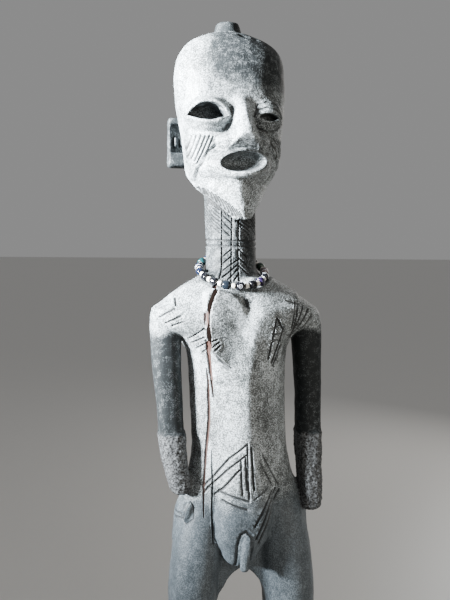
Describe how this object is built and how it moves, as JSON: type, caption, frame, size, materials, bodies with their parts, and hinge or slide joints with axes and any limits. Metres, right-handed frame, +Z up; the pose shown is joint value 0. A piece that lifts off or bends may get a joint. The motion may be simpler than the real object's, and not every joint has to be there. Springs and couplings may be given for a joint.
{
  "type": "carved standing ancestor figure",
  "caption": "Tall standing figure carved from one log, with a lift-out crown stopper and a loose string of glass eye beads round its long neck.",
  "frame": {"origin": "under the middle of the plinth, on the surface it stands on", "axes": "+Z up along the figure, -Y the way its face looks, +X to the right of someone facing it"},
  "size_m": [0.212, 0.17, 0.998],
  "materials": {
    "carved_wood": "blackened, worn silver-grey, satin",
    "stopper_wood": "blackened, worn silver-grey, satin",
    "dark_glass": "opaque dark blue glass with pale trails, glossy",
    "pale_glass": "opaque off-white glass, satin",
    "cord": "waxed plant fibre string, matt"
  },
  "bodies": {
    "figure": {"carved_log": "carved_wood"},
    "stopper": {"crown_stopper": "stopper_wood"},
    "necklace": {"necklace_string": "cord", "eye_bead_01": "dark_glass", "eye_bead_02": "dark_glass", "eye_bead_03": "dark_glass", "eye_bead_04": "dark_glass", "eye_bead_05": "dark_glass", "eye_bead_06": "dark_glass", "eye_bead_07": "dark_glass", "eye_bead_08": "dark_glass", "eye_bead_09": "dark_glass", "eye_bead_10": "dark_glass", "eye_bead_11": "dark_glass", "eye_bead_12": "dark_glass", "eye_bead_13": "dark_glass", "eye_bead_14": "dark_glass", "eye_bead_15": "dark_glass", "eye_bead_16": "dark_glass", "eye_bead_17": "dark_glass", "spacer_bead_01": "pale_glass", "spacer_bead_02": "pale_glass", "spacer_bead_03": "pale_glass", "spacer_bead_04": "pale_glass", "spacer_bead_05": "pale_glass", "spacer_bead_06": "pale_glass", "spacer_bead_07": "pale_glass", "spacer_bead_08": "pale_glass", "spacer_bead_09": "pale_glass", "spacer_bead_10": "pale_glass", "spacer_bead_11": "pale_glass", "spacer_bead_12": "pale_glass", "spacer_bead_13": "pale_glass", "spacer_bead_14": "pale_glass", "spacer_bead_15": "pale_glass", "spacer_bead_16": "pale_glass"}
  },
  "joints": [
    {"name": "stopper_lift", "type": "slide", "parent": "figure", "child": "stopper", "axis": [0, 0, 1], "range_m": [0, 0.045]},
    {"name": "necklace_lift", "type": "slide", "parent": "figure", "child": "necklace", "axis": [0, 0, 1], "range_m": [0, 0.05]}
  ]
}
